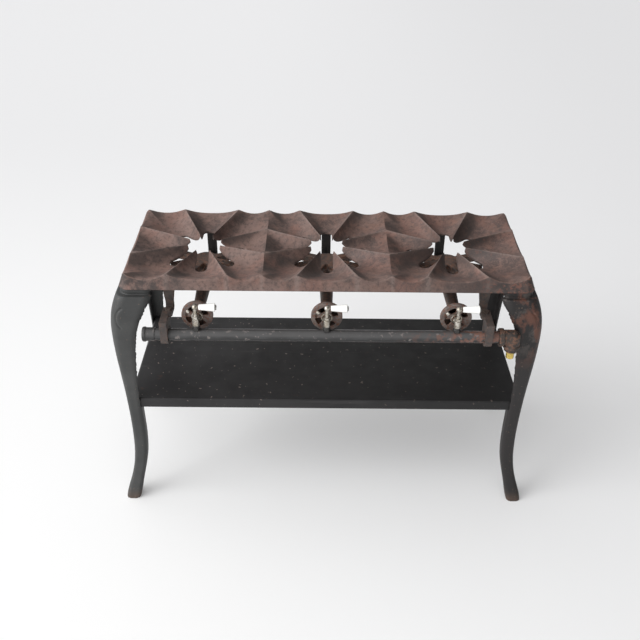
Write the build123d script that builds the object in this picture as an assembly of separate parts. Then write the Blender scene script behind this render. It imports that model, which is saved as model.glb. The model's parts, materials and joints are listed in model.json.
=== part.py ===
from build123d import *
import math
import os

# Three-burner gas hot plate: an iron top on four cabriole legs, with a sheet-metal shelf, a manifold
# pipe across the front, three gas cocks and three star burners.
# Millimetres. X is along the top, -Y is the side with the cocks, Z is up from the floor.
# Everything is drawn about the middle of the table, and moved at the end so that the origin is on the
# floor under the middle of the bounding box.

# ---- driving dimensions -------------------------------------------------------------------------
TOP_LENGTH = 700.0
TOP_DEPTH = 252.0
TOP_Z = 493.0            # ridges at the rim
APRON_HEIGHT = 26.0
APRON_FLARE = 10.0       # how far the apron leans out at its foot
CELL = 224.0             # pitch of the three cells
CASTING_T = 4.5
PIPE_R = 21.3 / 2        # half-inch gas pipe
PIPE_BORE_R = 15.8 / 2
PIPE_OUT = 165.0         # pipe axis in front of the middle of the table
PIPE_Z = 396.0
SHELF_Z = 233.0          # upper face of the shelf
FOOT_OUT = 42.0          # outer edge of a foot beyond the rim of the top

# ---- top grate ----------------------------------------------------------------------------------
HALF_L = TOP_LENGTH / 2
HALF_D = TOP_DEPTH / 2
APRON_Z = TOP_Z - APRON_HEIGHT
HALF_CELL = CELL / 2
CELL_X = (-CELL, 0.0, CELL)
SIDES = ("left", "middle", "right")
RIDGE_TURN = 22.5        # ridges stand this far either side of each valley
RIDGE_TAN = math.tan(math.radians(RIDGE_TURN))
TIP_Z = TOP_Z - 6.0      # ridges sink slightly towards their tips
SLOT_W = 21.0
SLOT_REACH = 77.0        # from the cell's centre to the end of a slot
SLOT_END_Z = TOP_Z - 23.0
INNER_REACH = 20.0       # sections this near the centre lie wholly inside the star opening
INNER_SAG = 30.0         # so the slots' edges lie near the level of the valley floors
SIDE_SAG = 9.0           # scallop in the middle of a side
CORNER_SAG = 8.0         # scallop next to a corner
RIM_CORNER_R = 9.0
APRON_CORNER_R = 15.0
BOSS_R = 8.0
TAP_R = 3.0              # tapped holes and the bolts in them
TAP_DEPTH = 11.0

# ---- legs ---------------------------------------------------------------------------------------
LEG_WALL = 4.5
SHELF_LIP = 20.0         # the shelf's turned-down edge, which stands on the legs' ledges
LEDGE_Z = SHELF_Z - SHELF_LIP
LEG_TOP_PLATE = 6.0
BEAD_H = 11.0
BEAD_Z = APRON_Z - BEAD_H
BEAD_OUT = 8.0           # outer edge of the bead beyond the rim, inside the leg's shoulder
HOLLOW_REACH = 40.0      # the hollow runs this far past the inner edge, so it is open there
# height, outer edge beyond the rim, inner edge beyond the rim
LEG_SECTIONS = (
    (0.0, FOOT_OUT, 15.0),
    (10.0, 40.5, 12.5),
    (30.0, 34.5, 8.5),
    (55.0, 27.0, 3.0),
    (85.0, 21.5, -3.0),
    (125.0, 18.7, -6.5),
    (LEDGE_Z, 19.2, -6.5),
    (283.0, 22.8, -9.1),
    (330.0, 26.0, -13.8),
    (363.0, 27.5, -18.6),
    (390.0, 28.0, -24.0),
    (413.0, 27.0, -34.0),
    (435.0, 23.0, -46.0),
    (BEAD_Z, 15.2, -51.5),
)
LEG_ROUNDNESS = 0.3      # corner radius of a section over its width
HOLLOW_ROUNDNESS = 0.08
LEG_BOLT_IN = 15.0       # from the rim of the top to a leg bolt, along X and Y

# ---- shelf --------------------------------------------------------------------------------------
SHELF_L = 728.0
SHELF_D = 280.0
SHELF_T = 1.2
SHELF_BEND_R = 4.0

# ---- gas line -----------------------------------------------------------------------------------
PIPE_LEFT = -312.0
PIPE_RIGHT = 306.0
CAP_R = 12.0
CAP_FLANGE_R = 13.2
CAP_LEFT = -318.0
CAP_RIGHT = -296.0
CAP_FLANGE_W = 7.0
COLLAR_R = 16.0
COLLAR_W = 9.0
COLLAR_X = 297.5
ELBOW_X = 322.5
ELBOW_R = 13.5
ELBOW_BEAD_R = 15.5
ELBOW_BEAD_W = 6.0
ELBOW_DROP = 20.0        # from the pipe axis to the elbow's lower mouth
BUSH_R = 12.5
BUSH_H = 7.0
SPIGOT_R = 7.0
SPIGOT_BORE_R = 4.0
SPIGOT_LENGTH = 12.0
SPIGOT_COLLAR_R = 9.0
SPIGOT_COLLAR_H = 3.0

# ---- pipe hangers -------------------------------------------------------------------------------
HANGER_X = 275.0
HANGER_W = 15.0
HANGER_TOP_W = 22.0
HANGER_WAIST = 12.0      # from the forward tab up to where the hanger begins to widen
HANGER_T = 4.5
HANGER_Y = -117.0        # the hanging stretch
HANGER_BOLT_Y = -102.0
HANGER_SHELF_Z = 424.0   # upper face of the forward tab
HOOK_BOLT_Y = -137.0
HOOK_IN = -3.0           # inner face of the hook's eye, outward from the hanger's middle
HOOK_W = 13.0
HOOK_FRONT = 15.2        # in front of the pipe's axis
HOOK_REAR = 19.5         # behind the pipe's axis
HOOK_FOOT_Z = 381.0
HOOK_FOOT_R = 12.0
BOLT_TO_END = 8.0        # from a bolt to the end of its bar
BAR_BEND_R = 5.0

# ---- burners ------------------------------------------------------------------------------------
TUBE_Z = 423.0
TUBE_R = 12.0
TUBE_BORE_R = 8.5
TUBE_WIDE_Y = -60.0      # where the tube has reached its full width
THROAT_R = 10.0
THROAT_Y = -124.0
BELL_R = 25.0
BELL_WALL = 3.0
BELL_LIP = 6.0           # straight part of the bell behind its face
BELL_TAPER = 19.0        # from the face to where the inside has narrowed to the tube's bore
MIXER_Y = -146.5         # front face of the bell, on which the shutter lies
HUB_R = 8.0
HUB_BORE_R = 5.6
HUB_LENGTH = 4.0         # the shutter and its collar sit on this stub
HEAD_TOP_Z = 457.0
HEAD_H = 13.0
HEAD_WALL = 3.0
HEAD_HUB_R = 21.0
ARM_TURNS = (22.5, 157.5, 202.5, 247.5, 292.5, 337.5)   # none over the tail
ARM_W = 13.0
ARM_SPAN_R = 60.0        # where the round ends of the arms are centred
PORT_R = 1.1
PORTS = 3                # flame ports along each arm
PORT_STEP = 11.0
RISER_R = 15.0
TAIL_W = 15.0
TAIL_H = 9.0
TAIL_PAD_Y = 84.0
TAIL_PAD_R = 9.0
TAIL_RELIEF_R = 8.5      # room for the bolt and a spanner over the pad
STRAP_Y = 98.0
STRAP_W = 18.0
STRAP_T = 4.0
STRAP_BOLT_Y = 114.0

# ---- air shutters -------------------------------------------------------------------------------
SHUTTER_R = 27.3
SHUTTER_T = 1.6
SHUTTER_RIM_W = 1.6
SHUTTER_RIM_DEPTH = 6.0
WINDOW_IN_R = 10.5
WINDOW_OUT_R = 20.5
WINDOW_CORNER_R = 1.5
WINDOW_HALF = 22.0       # half the angle of a window
WINDOW_TURN = 28.0       # first window, from +X towards +Z
SCREW_ORBIT = 18.0
SCREW_TURN = 148.0
SCREW_R = 1.6
SCREW_SLOT_R = 2.0
SCREW_HEAD_R = 3.2
SCREW_HEAD_T = 2.0
SHUTTER_COLLAR_W = 1.7
SHUTTER_TRAVEL = 30.0    # degrees
RUNNING_GAP = 0.05

# ---- gas cocks ----------------------------------------------------------------------------------
COCK_BASE_Z = PIPE_Z + PIPE_R - 1.0
COCK_TAP_R = 4.2         # the tapped hole in the pipe's top, and the cock's stub in it
COCK_HEX_R = 7.2
COCK_HEX_H = 6.0
BARREL_R = 5.8
BARREL_TOP_Z = 429.0
PLUG_TOP_R = 4.2
PLUG_FOOT_R = 3.4
PLUG_FOOT_Z = 415.0
GAS_WAY_R = 1.8
OUTLET_R = 4.4
OUTLET_LENGTH = 13.0     # from the cock's axis to the end of its outlet
STEM_R = 3.2
GLAND_H = 5.0
GLAND_R = 5.6
LEVER_Z = 452.0
BALL_R = 5.0
ROD_R = 2.0
ROD_START = 3.0
GRIP_START = 6.5
GRIP_LENGTH = 28.0
GRIP_SMALL_R = 4.7
GRIP_LARGE_R = 7.4
GRIP_EDGE_R = 1.2
GRIP_NUT_R = 4.6
GRIP_NUT_T = 2.2
HOOD_R = 5.0
HOOD_HEX_R = 6.5
HOOD_HEX_T = 5.0
HOOD_WEB = 1.2
JET_R = 0.8

# ---- bolts --------------------------------------------------------------------------------------
HEAD_R = 6.0
HEAD_T = 4.0
CLEAR_R = 3.4

# The frame's origin is under the middle of the bounding box, which reaches from the front of the
# pipe's collar to the rear feet.
FRONT_REACH = PIPE_OUT + COLLAR_R
REAR_REACH = HALF_D + max(outer for _, outer, _ in LEG_SECTIONS)
TO_FRAME = (FRONT_REACH - REAR_REACH) / 2

ON_FACE = (Align.CENTER, Align.CENTER, Align.MIN)
FROM_CORNER = (Align.MIN, Align.MIN, Align.MIN)


def ridge_z(reach):
    """Height of a ridge where a section at this reach from the cell's centre meets it."""
    tip_reach = SLOT_W / 2 / math.tan(math.radians(RIDGE_TURN))
    rise = (TOP_Z - TIP_Z) / (HALF_D - tip_reach)
    return TOP_Z - rise * (HALF_D - reach)


def turned(x, y, z, turn):
    """A point of a sector that faces +X, turned about the cell's centre."""
    c, s = math.cos(math.radians(turn)), math.sin(math.radians(turn))
    return Vector(x * c - y * s, x * s + y * c, z)


def hanging_arc(start, end, sag):
    """An arc of a circle that hangs between two points."""
    middle = (start + end) * 0.5 - Vector(0, 0, sag)
    return ThreePointArc(start, middle, end).edge()


def ridge_points(reach, turn):
    """The points on a sector's two ridges where a section at this reach meets them."""
    half, z = reach * RIDGE_TAN, ridge_z(reach)
    return turned(reach, -half, z, turn), turned(reach, half, z, turn)


def valley_arc(reach, sag, turn):
    return hanging_arc(*ridge_points(reach, turn), sag)


def tip_arc(turn):
    """A parabola, as it is narrow and deeper than half a circle."""
    start, end = ridge_points(INNER_REACH, turn)
    control = (start + end) * 0.5 - Vector(0, 0, 2 * INNER_SAG)
    return Bezier(start, control, end).edge()


def slot_end_arc(turn):
    return valley_arc(SLOT_REACH, ridge_z(SLOT_REACH) - SLOT_END_Z, turn)


def side_reach(turn, cell):
    """How far a cell reaches towards a side: to the rim of the top, or to the next cell."""
    outward = {0: cell == 2, 180: cell == 0}.get(turn, True)
    return HALF_D if outward else HALF_CELL


def cell_faces(cell):
    """The upper faces of one cell's pleats, inner ring and outer ring apart, about its own centre."""
    inner, outer = [], []
    for turn in range(0, 360, 45):
        inner.append(Face.make_surface_from_curves(slot_end_arc(turn), tip_arc(turn)))
    for turn in range(0, 360, 90):
        rim = valley_arc(side_reach(turn, cell), SIDE_SAG, turn)
        outer.append(Face.make_surface_from_curves(rim, slot_end_arc(turn)))
        outer.extend(corner_faces(turn, cell))
    return inner, outer


def corner_faces(turn, cell):
    """The two halves of the pleat between the side at this turn and the next side round."""
    near, far = side_reach(turn, cell), side_reach((turn + 90) % 360, cell)
    corner = turned(near, far, TOP_Z, turn)
    ridge_near = turned(near, near * RIDGE_TAN, ridge_z(near), turn)
    ridge_far = turned(far * RIDGE_TAN, far, ridge_z(far), turn)
    valley = slot_end_arc(turn + 45)
    rim_near = hanging_arc(ridge_near, corner, CORNER_SAG)
    rim_far = hanging_arc(corner, ridge_far, CORNER_SAG)
    return [
        Face.make_surface_from_curves(rim_near, valley.trim(0, 0.5)),
        Face.make_surface_from_curves(rim_far, valley.trim(0.5, 1)),
    ]


def rim_solid(inset):
    """The flared outline of the top from rim to apron foot, drawn in by an inset."""
    rim = RectangleRounded(TOP_LENGTH - 2 * inset, TOP_DEPTH - 2 * inset, RIM_CORNER_R - inset / 2)
    foot_l = TOP_LENGTH + 2 * (APRON_FLARE - inset)
    foot_d = TOP_DEPTH + 2 * (APRON_FLARE - inset)
    foot = RectangleRounded(foot_l, foot_d, APRON_CORNER_R - inset / 2)
    return loft([Pos(0, 0, TOP_Z) * rim, Pos(0, 0, APRON_Z) * foot], ruled=True)


def rim_notches():
    """Prisms that scallop the rim itself, outside the pleats."""
    notches = []
    over = 3.0
    for x in CELL_X:
        spans = [(-HALF_D * RIDGE_TAN, HALF_D * RIDGE_TAN, SIDE_SAG)]
        left = -HALF_D if x < 0 else -HALF_CELL
        right = HALF_D if x > 0 else HALF_CELL
        spans.append((left, -HALF_D * RIDGE_TAN, CORNER_SAG))
        spans.append((HALF_D * RIDGE_TAN, right, CORNER_SAG))
        for start, end, sag in spans:
            notch = notch_face(x + start, x + end, sag)
            notches.append(Pos(0, -HALF_D, 0) * extrude(notch, over + APRON_FLARE, dir=(0, -1, 0)))
            notches.append(Pos(0, HALF_D, 0) * extrude(notch, over + APRON_FLARE, dir=(0, 1, 0)))
    for start, end, sag in (
        (-HALF_D, -HALF_D * RIDGE_TAN, CORNER_SAG),
        (-HALF_D * RIDGE_TAN, HALF_D * RIDGE_TAN, SIDE_SAG),
        (HALF_D * RIDGE_TAN, HALF_D, CORNER_SAG),
    ):
        notch = Rot(0, 0, 90) * notch_face(start, end, sag)
        notches.append(Pos(HALF_L, 0, 0) * extrude(notch, over + APRON_FLARE, dir=(1, 0, 0)))
        notches.append(Pos(-HALF_L, 0, 0) * extrude(notch, over + APRON_FLARE, dir=(-1, 0, 0)))
    return notches


def notch_face(start, end, sag):
    """The part above a hanging arc, in the XZ plane."""
    lid = 2.0
    a, b = Vector(start, 0, TOP_Z), Vector(end, 0, TOP_Z)
    up = Vector(0, 0, lid)
    over = Polyline(b, b + up, a + up, a)
    return make_face([hanging_arc(a, b, sag), *over.edges()])


def boss_places():
    """Where bolts come up into the top: four legs, two hangers, three burner straps."""
    x, y = HALF_L - LEG_BOLT_IN, HALF_D - LEG_BOLT_IN
    legs = [(sx * x, sy * y) for sx in (-1, 1) for sy in (-1, 1)]
    hangers = [(side * HANGER_X, HANGER_BOLT_Y) for side in (-1, 1)]
    straps = [(x, STRAP_BOLT_Y) for x in CELL_X]
    return legs + hangers + straps


def top_grate():
    lift = 2 * APRON_HEIGHT
    skin, air = [], []
    for cell, x in enumerate(CELL_X):
        inner, outer = cell_faces(cell)
        for face in inner + outer:
            skin.append(Pos(x, 0, 0) * Solid.extrude(face, Vector(0, 0, -CASTING_T)))
        for face in outer:
            air.append(Pos(x, 0, 0) * Solid.extrude(face, Vector(0, 0, lift)))
    frame = rim_solid(0) - rim_solid(CASTING_T)
    bosses = [Pos(x, y, APRON_Z) * Cylinder(BOSS_R, APRON_HEIGHT, align=ON_FACE) for x, y in boss_places()]
    frame = frame + bosses
    frame = frame - air - rim_notches()
    plate = (skin[0] + skin[1:]) & rim_solid(0)
    plate = plate - star_openings()
    top = plate + frame
    for x, y in boss_places():
        top -= Pos(x, y, APRON_Z) * Cylinder(TAP_R, TAP_DEPTH, align=ON_FACE)
    return top


def star_openings():
    slots = [Rot(0, 0, turn) * SlotOverall(2 * SLOT_REACH, SLOT_W) for turn in range(0, 180, 45)]
    star = extrude(slots[0] + slots[1:], TOP_Z)
    return [Pos(x, 0, 1.0) * star for x in CELL_X]


def leg_section(z, outer, inner, roundness=LEG_ROUNDNESS):
    width = outer - inner
    middle = (outer + inner) / 2
    square = RectangleRounded(width, width, width * roundness)
    return Pos(HALF_L + middle, HALF_D + middle, z) * square


def leg():
    """The rear right leg; the others are its mirror images."""
    body = loft([leg_section(*section) for section in LEG_SECTIONS])
    bends = [section for section in LEG_SECTIONS if LEDGE_Z <= section[0] < BEAD_Z]
    hollow = [leg_hollow(*section) for section in bends]
    hollow.append(leg_hollow(BEAD_Z, BEAD_OUT, LEG_SECTIONS[-1][2]))
    body -= loft(hollow, ruled=True)
    body += leg_bead()
    bolt_x, bolt_y = HALF_L - LEG_BOLT_IN, HALF_D - LEG_BOLT_IN
    return body - upright(CLEAR_R, BEAD_Z, APRON_Z, bolt_x, bolt_y)


def leg_hollow(z, outer, inner):
    """A section of the hollow, which leaves the outer walls and is open towards the table."""
    return leg_section(z, outer - LEG_WALL, inner - HOLLOW_REACH, HOLLOW_ROUNDNESS)


def leg_bead():
    """Round moulding on the leg's shoulder, just under the apron, closed by the top plate."""
    inner = LEG_SECTIONS[-1][2]
    outline = extrude(leg_section(BEAD_Z, BEAD_OUT, inner), BEAD_H)
    rims = outline.edges().group_by(Axis.Z)
    outline = fillet(rims[0] + rims[-1], BEAD_H / 3)
    return outline - extrude(leg_hollow(BEAD_Z, BEAD_OUT, inner), BEAD_H - LEG_TOP_PLATE)


def shelf():
    """A folded tray, open below, with its lip turned down."""
    shell = Box(SHELF_L, SHELF_D, SHELF_LIP)
    shell = fillet(shell.edges().group_by(Axis.Z)[-1] + shell.edges().filter_by(Axis.Z), SHELF_BEND_R)
    hollow = Box(SHELF_L - 2 * SHELF_T, SHELF_D - 2 * SHELF_T, SHELF_LIP)
    bend = SHELF_BEND_R - SHELF_T
    hollow = fillet(hollow.edges().group_by(Axis.Z)[-1] + hollow.edges().filter_by(Axis.Z), bend)
    return Pos(0, 0, SHELF_Z - SHELF_LIP / 2) * (shell - Pos(0, 0, -SHELF_T) * hollow)


def along_x(radius, start, end, y=-PIPE_OUT, z=PIPE_Z):
    """A cylinder along X between two places."""
    return Pos((start + end) / 2, y, z) * Rot(0, 90, 0) * Cylinder(radius, end - start)


def along_y(radius, start, end, x=0.0, z=TUBE_Z):
    """A cylinder along Y between two places."""
    return Pos(x, (start + end) / 2, z) * Rot(90, 0, 0) * Cylinder(radius, end - start)


def upright(radius, low, high, x=0.0, y=0.0):
    """A cylinder along Z between two heights."""
    return Pos(x, y, low) * Cylinder(radius, high - low, align=ON_FACE)


def hexagon(radius, height):
    return extrude(RegularPolygon(radius, 6), height)


def manifold_pipe():
    pipe = along_x(PIPE_R, PIPE_LEFT, PIPE_RIGHT) - along_x(PIPE_BORE_R, PIPE_LEFT, PIPE_RIGHT)
    for x in CELL_X:
        pipe -= upright(COCK_TAP_R, PIPE_Z, PIPE_Z + 2 * PIPE_R, x, -PIPE_OUT)
    return pipe


def end_cap():
    flange = along_x(CAP_FLANGE_R, CAP_LEFT, CAP_LEFT + CAP_FLANGE_W)
    flange = fillet(flange.edges(), CAP_FLANGE_W / 3)
    sleeve = along_x(CAP_R, CAP_LEFT + CAP_FLANGE_W / 2, CAP_RIGHT)
    return flange + sleeve - along_x(PIPE_R, PIPE_LEFT, CAP_RIGHT)


def pipe_collar():
    ring = along_x(COLLAR_R, COLLAR_X, COLLAR_X + COLLAR_W)
    ring = fillet(ring.edges(), COLLAR_W / 6)
    return ring - along_x(PIPE_R, COLLAR_X, COLLAR_X + COLLAR_W)


def elbow():
    start = COLLAR_X + COLLAR_W
    mouth_z = PIPE_Z - ELBOW_DROP
    body = along_x(ELBOW_R, start, ELBOW_X)
    body += Pos(ELBOW_X, -PIPE_OUT, PIPE_Z) * Sphere(ELBOW_R)
    body += upright(ELBOW_R, mouth_z, PIPE_Z, ELBOW_X, -PIPE_OUT)
    lower_bead = upright(ELBOW_BEAD_R, mouth_z, mouth_z + ELBOW_BEAD_W, ELBOW_X, -PIPE_OUT)
    body += fillet(lower_bead.edges(), ELBOW_BEAD_W / 3)
    bore = along_x(PIPE_BORE_R, start, ELBOW_X)
    bore += Pos(ELBOW_X, -PIPE_OUT, PIPE_Z) * Sphere(PIPE_BORE_R)
    bore += upright(PIPE_BORE_R, mouth_z, PIPE_Z, ELBOW_X, -PIPE_OUT)
    return body - bore


def inlet_bushing():
    mouth_z = PIPE_Z - ELBOW_DROP
    place = Pos(ELBOW_X, -PIPE_OUT, mouth_z - BUSH_H)
    body = place * hexagon(BUSH_R, BUSH_H)
    body += upright(PIPE_BORE_R, mouth_z, mouth_z + BUSH_H, ELBOW_X, -PIPE_OUT)
    return body - upright(SPIGOT_BORE_R, mouth_z - BUSH_H, mouth_z + BUSH_H, ELBOW_X, -PIPE_OUT)


def hose_spigot():
    top = PIPE_Z - ELBOW_DROP - BUSH_H
    foot = top - SPIGOT_COLLAR_H - SPIGOT_LENGTH
    body = upright(SPIGOT_R, foot, top, ELBOW_X, -PIPE_OUT)
    body += upright(SPIGOT_COLLAR_R, top - SPIGOT_COLLAR_H, top, ELBOW_X, -PIPE_OUT)
    return body - upright(SPIGOT_BORE_R, foot, top, ELBOW_X, -PIPE_OUT)


def bent_bar(points, width, thickness):
    """A flat bar that follows points (y, z), with rounded bends."""
    route = FilletPolyline(*[(y, z) for y, z in points], radius=BAR_BEND_R)
    side = Plane.YZ * trace(route, thickness)
    return extrude(side, width / 2, both=True)


def hanger():
    """Foot bolted under the top, hanging stretch, and a tab forward over which the hook is bolted."""
    foot_z = APRON_Z - HANGER_T / 2
    tab_z = HANGER_SHELF_Z - HANGER_T / 2
    rear_y, front_y = HANGER_BOLT_Y + BOLT_TO_END, HOOK_BOLT_Y - BOLT_TO_END
    points = [(rear_y, foot_z), (HANGER_Y, foot_z), (HANGER_Y, tab_z), (front_y, tab_z)]
    bar = bent_bar(points, HANGER_TOP_W, HANGER_T)
    bar &= hanger_taper()
    bar -= upright(CLEAR_R, foot_z - HANGER_T, APRON_Z, 0, HANGER_BOLT_Y)
    bar -= upright(TAP_R, tab_z - HANGER_T, tab_z + HANGER_T, 0, HOOK_BOLT_Y)
    return bar


def hanger_taper():
    """Front outline of a hanger: wide at the top, narrower from the tab up to half way."""
    half_top, half_foot = HANGER_TOP_W / 2, HANGER_W / 2
    low, high = HANGER_SHELF_Z - 2 * HANGER_T, APRON_Z + HANGER_T
    waist, shoulder = HANGER_SHELF_Z + HANGER_WAIST, APRON_Z - HANGER_T
    right = [(half_foot, low), (half_foot, waist), (half_top, shoulder), (half_top, high)]
    left = [(-x, z) for x, z in reversed(right)]
    outline = Polyline(*right, *left, close=True)
    return extrude(Plane.XZ * make_face(outline), PIPE_OUT, both=True)


def pipe_hook():
    """The right one: an eye round the pipe, and a strap that is bolted over the hanger's tab."""
    top_z = HANGER_SHELF_Z + HANGER_T
    middle_y = (HOOK_REAR - HOOK_FRONT) / 2 - PIPE_OUT
    middle_z = (HOOK_FOOT_Z + top_z) / 2
    side = Pos(middle_y, middle_z) * Rectangle(HOOK_FRONT + HOOK_REAR, top_z - HOOK_FOOT_Z)
    side = fillet(side.vertices().group_by(Axis.Y)[0], HOOK_FOOT_R)
    hook = Pos(HOOK_IN, 0, 0) * extrude(Plane.YZ * side, HOOK_W)
    start_y, end_y = HOOK_REAR - PIPE_OUT - BOLT_TO_END, HOOK_BOLT_Y + BOLT_TO_END
    strap = Box(HANGER_W / 2 + HOOK_IN + HOOK_W, end_y - start_y, HANGER_T, align=FROM_CORNER)
    hook += Pos(-HANGER_W / 2, start_y, HANGER_SHELF_Z) * strap
    hook -= along_x(PIPE_R, HOOK_IN, HOOK_IN + HOOK_W)
    return hook - upright(CLEAR_R, HANGER_SHELF_Z, top_z, 0, HOOK_BOLT_Y)


def bolt_up(head_face_z, length):
    """A hexagon bolt that points up, with its head under a face."""
    head = Pos(0, 0, head_face_z - HEAD_T) * hexagon(HEAD_R, HEAD_T)
    return head + upright(TAP_R, head_face_z, head_face_z + length)


def bolt_down(head_face_z, length):
    """A hexagon bolt that points down, with its head on a face."""
    head = Pos(0, 0, head_face_z) * hexagon(HEAD_R, HEAD_T)
    return head + upright(TAP_R, head_face_z - length, head_face_z)


def leg_bolts():
    bolt = bolt_up(APRON_Z - LEG_TOP_PLATE, LEG_TOP_PLATE + TAP_DEPTH - 1.0)
    x, y = HALF_L - LEG_BOLT_IN, HALF_D - LEG_BOLT_IN
    return [Pos(sx * x, sy * y, 0) * bolt for sx in (-1, 1) for sy in (-1, 1)]


def hanger_bolts():
    upper = bolt_up(APRON_Z - HANGER_T, HANGER_T + TAP_DEPTH - 1.0)
    lower = bolt_down(HANGER_SHELF_Z + HANGER_T, 2 * HANGER_T)
    bolts = []
    for side in (-1, 1):
        bolts.append(Pos(side * HANGER_X, HANGER_BOLT_Y, 0) * upper)
        bolts.append(Pos(side * HANGER_X, HOOK_BOLT_Y, 0) * lower)
    return bolts


def burner():
    """One casting: mixer bell, tube, riser, star head and tail."""
    head_foot = HEAD_TOP_Z - HEAD_H
    outer = mixer_bell() + tube_outside()
    outer += upright(RISER_R, TUBE_Z - TUBE_R, head_foot + HEAD_WALL)
    outer += Pos(0, 0, head_foot) * extrude(star_outline(ARM_W, HEAD_HUB_R, ARM_SPAN_R), HEAD_H)
    outer += burner_tail()
    chamber = star_outline(ARM_W - 2 * HEAD_WALL, HEAD_HUB_R - HEAD_WALL, ARM_SPAN_R)
    inside = Pos(0, 0, head_foot + HEAD_WALL) * extrude(chamber, HEAD_H - 2 * HEAD_WALL)
    inside += upright(RISER_R - HEAD_WALL, TUBE_Z, head_foot + HEAD_WALL)
    inside += along_y(TUBE_BORE_R, THROAT_Y, 0)
    return outer - inside - burner_ports()


def star_outline(arm_w, hub_r, span_r):
    arms = [Rot(0, 0, turn) * Pos(span_r / 2, 0) * SlotCenterToCenter(span_r, arm_w) for turn in ARM_TURNS]
    return Circle(hub_r) + arms


def burner_ports():
    """A row of small flame ports along the top of each arm."""
    ports = []
    for turn in ARM_TURNS:
        for port in range(PORTS):
            place = turned(ARM_SPAN_R - port * PORT_STEP, 0, 0, turn)
            ports.append(upright(PORT_R, HEAD_TOP_Z - 2 * HEAD_WALL, HEAD_TOP_Z + 1.0, place.X, place.Y))
    return ports


def mixer_bell():
    """A flared bell with a flat windowed front and a hub stub that carries the shutter."""
    lip_y = MIXER_Y + BELL_LIP
    face = [(0, MIXER_Y), (BELL_R, MIXER_Y)]
    outline = Polyline(*face, (BELL_R, lip_y), (THROAT_R, THROAT_Y), (0, THROAT_Y), close=True)
    inner_r, inner_y = BELL_R - BELL_WALL, MIXER_Y + BELL_WALL
    throat = [(TUBE_BORE_R, MIXER_Y + BELL_TAPER), (TUBE_BORE_R, THROAT_Y), (0, THROAT_Y)]
    cavity = Polyline((0, inner_y), (inner_r, inner_y), (inner_r, lip_y - 1.0), *throat, close=True)
    shell = revolve(make_face(outline), Axis.Y) - revolve(make_face(cavity), Axis.Y)
    shell = Pos(0, 0, TUBE_Z) * shell
    shell += along_y(HUB_R, MIXER_Y - HUB_LENGTH, MIXER_Y + BELL_WALL)
    shell -= along_y(HUB_BORE_R, MIXER_Y - HUB_LENGTH, MIXER_Y + BELL_WALL)
    shell -= [Pos(0, MIXER_Y + BELL_WALL, TUBE_Z) * window for window in windows(BELL_WALL)]
    x, z = on_face(SCREW_ORBIT, SCREW_TURN)
    return shell - along_y(SCREW_R, MIXER_Y, MIXER_Y + BELL_WALL, x, TUBE_Z + z)


def on_face(radius, turn):
    """A place on the mixer's face as seen from the front, from +X towards +Z."""
    return radius * math.cos(math.radians(turn)), radius * math.sin(math.radians(turn))


def windows(depth):
    """Four sector windows through a plate that ends at Y = 0, about the Y axis."""
    low, high = WINDOW_TURN - WINDOW_HALF, WINDOW_TURN + WINDOW_HALF
    turns = (low, WINDOW_TURN, high)
    a, am, b = [on_face(WINDOW_IN_R, turn) for turn in turns]
    c, cm, d = [on_face(WINDOW_OUT_R, turn) for turn in turns]
    outline = [ThreePointArc(a, am, b), Line(b, d), ThreePointArc(d, cm, c), Line(c, a)]
    window = fillet(make_face(outline).vertices(), WINDOW_CORNER_R)
    pane = extrude(Plane.XZ * window, depth + 1.0)
    return [Rot(0, turn, 0) * Pos(0, 0.5, 0) * pane for turn in range(0, 360, 90)]


def tube_outside():
    """The tube widens from the throat to the riser."""
    wide = [(TUBE_R, TUBE_WIDE_Y), (TUBE_R, 0)]
    outline = Polyline((0, THROAT_Y), (THROAT_R, THROAT_Y), *wide, (0, 0), close=True)
    return Pos(0, 0, TUBE_Z) * revolve(make_face(outline), Axis.Y)


def burner_tail():
    """A rib to the rear, ending in a pad that is bolted to the strap."""
    pad_z = TUBE_Z - TUBE_R
    rib = Pos(0, TAIL_PAD_Y / 2, pad_z + TAIL_H / 2) * Box(TAIL_W, TAIL_PAD_Y, TAIL_H)
    pad = upright(TAIL_PAD_R, pad_z, pad_z + TAIL_H / 2, 0, TAIL_PAD_Y)
    relief = upright(TAIL_RELIEF_R, pad_z + TAIL_H / 2, pad_z + 2 * TAIL_H, 0, TAIL_PAD_Y)
    return rib + pad - relief - upright(TAP_R, pad_z, pad_z + TAIL_H, 0, TAIL_PAD_Y)


def burner_strap():
    """Foot bolted under the top, hanging stretch, and a tab forward under the burner's tail."""
    foot_z = APRON_Z - STRAP_T / 2
    tab_z = TUBE_Z - TUBE_R - STRAP_T / 2
    rear_y, front_y = STRAP_BOLT_Y + STRAP_W / 2 - 1.0, TAIL_PAD_Y - BOLT_TO_END
    points = [(rear_y, foot_z), (STRAP_Y, foot_z), (STRAP_Y, tab_z), (front_y, tab_z)]
    bar = bent_bar(points, STRAP_W, STRAP_T)
    bar -= upright(CLEAR_R, foot_z - STRAP_T, APRON_Z, 0, STRAP_BOLT_Y)
    return bar - upright(CLEAR_R, tab_z - STRAP_T, tab_z + STRAP_T, 0, TAIL_PAD_Y)


def strap_bolts():
    upper = Pos(0, STRAP_BOLT_Y, 0) * bolt_up(APRON_Z - STRAP_T, STRAP_T + TAP_DEPTH - 1.0)
    lower = Pos(0, TAIL_PAD_Y, 0) * bolt_up(TUBE_Z - TUBE_R - STRAP_T, STRAP_T + TAIL_H / 2)
    return [Pos(x, 0, 0) * bolt for x in CELL_X for bolt in (upper, lower)]


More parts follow.
